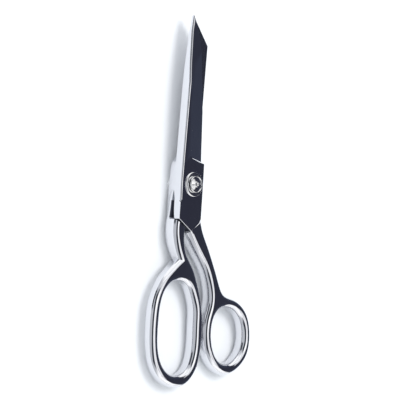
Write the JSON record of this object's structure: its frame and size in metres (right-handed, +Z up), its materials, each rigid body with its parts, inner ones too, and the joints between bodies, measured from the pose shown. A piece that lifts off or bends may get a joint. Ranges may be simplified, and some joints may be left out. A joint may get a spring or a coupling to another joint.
{
  "type": "bent dressmaking shears",
  "caption": "Chrome-plated bent-handle dressmaking shears: pointed blade with small thumb ring over angled-tip blade with large finger bow, on a slotted pivot screw.",
  "frame": {"origin": "on the pivot axis, at the outer end face of the pivot screw, which is flush with the lock nut's underside", "axes": "+Y towards the blade tips, +Z up through the pivot towards the screw head, +X to the thumb ring's side"},
  "size_m": [0.0809, 0.2048, 0.0144],
  "materials": {
    "chrome_plate": "bright polished chrome plate on forged steel",
    "nickel_screw": "bright nickel plate, turned",
    "nickel_washer": "bright nickel plate, stamped",
    "nickel_nut": "satin nickel plate"
  },
  "bodies": {
    "finger_side": {"finger_half": "chrome_plate", "pivot_screw": "nickel_screw", "head_washer": "nickel_washer", "lock_nut": "nickel_nut"},
    "thumb_side": {"thumb_half": "chrome_plate"}
  },
  "joints": [
    {"name": "blade_pivot", "type": "hinge", "parent": "finger_side", "child": "thumb_side", "pos_m": [0, 0, 0.0065], "axis": [0, 0, 1], "range_deg": [0, 75]}
  ]
}
